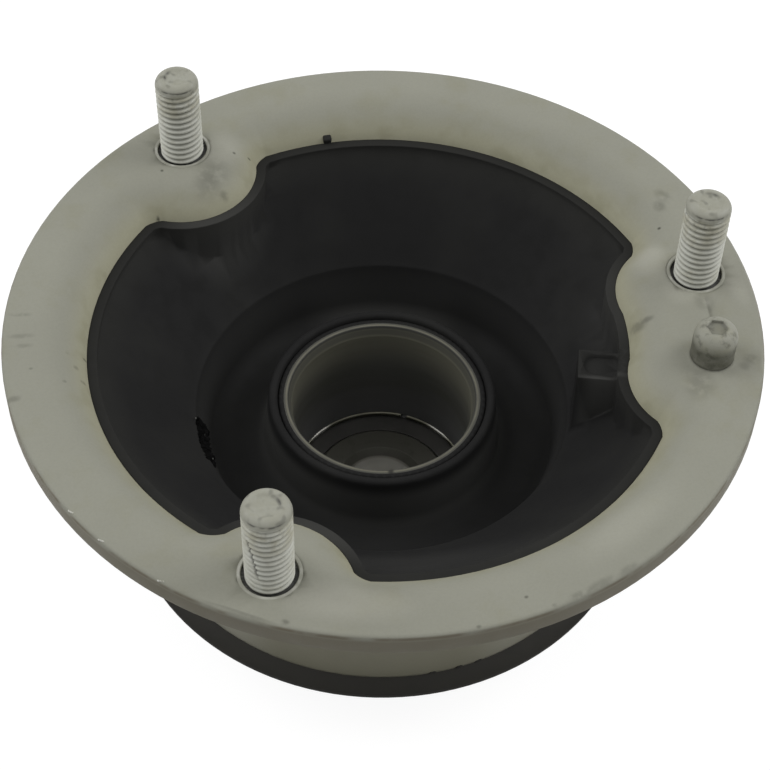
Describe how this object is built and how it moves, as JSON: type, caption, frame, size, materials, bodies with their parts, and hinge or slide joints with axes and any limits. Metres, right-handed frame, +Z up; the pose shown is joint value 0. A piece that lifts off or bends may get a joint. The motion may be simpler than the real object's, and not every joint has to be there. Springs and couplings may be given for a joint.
{
  "type": "strut mount",
  "caption": "Suspension strut top mount: flanged steel housing with press-in studs and a locating pin, bonded rubber cushion, and a cup holding a sealed ball bearing for the strut rod.",
  "frame": {"origin": "centre of the stud circle, in the flange's top face", "axes": "+Z up along the studs and the strut rod, +X through the stud next to the locating pin"},
  "size_m": [0.1328, 0.1328, 0.0772],
  "materials": {
    "zinc_steel": "dull zinc plating",
    "stud_steel": "satin zinc plating",
    "moulded_rubber": "matte, dusty",
    "cup_steel": "drawn, lightly oiled",
    "spring_steel": "bright wire",
    "bearing_steel": "ground, oiled",
    "ball_steel": "polished",
    "cage_brass": "pressed",
    "seal_rubber": "satin"
  },
  "bodies": {
    "root": {"housing": "zinc_steel", "stud_right": "stud_steel", "stud_left": "stud_steel", "stud_front": "stud_steel", "locating_pin": "zinc_steel", "rubber_cushion": "moulded_rubber", "bearing_cup": "cup_steel", "snap_ring": "spring_steel", "outer_race": "bearing_steel", "upper_seal": "seal_rubber", "lower_seal": "seal_rubber"},
    "inner_ring": {"inner_race": "bearing_steel"},
    "ball_train": {"ball_cage": "cage_brass", "ball_01": "ball_steel", "ball_02": "ball_steel", "ball_03": "ball_steel", "ball_04": "ball_steel", "ball_05": "ball_steel", "ball_06": "ball_steel", "ball_07": "ball_steel", "ball_08": "ball_steel", "ball_09": "ball_steel", "ball_10": "ball_steel"}
  },
  "joints": [
    {"name": "rod_spin", "type": "hinge", "parent": "root", "child": "inner_ring", "pos_m": [0, 0, -0.0527], "axis": [0, 0, 1], "continuous": true},
    {"name": "ball_train_spin", "type": "hinge", "parent": "root", "child": "ball_train", "pos_m": [0, 0, -0.0527], "axis": [0, 0, 1], "continuous": true}
  ],
  "couplings": [
    {"joint": "ball_train_spin", "follows": "rod_spin", "ratio": 0.3993}
  ]
}
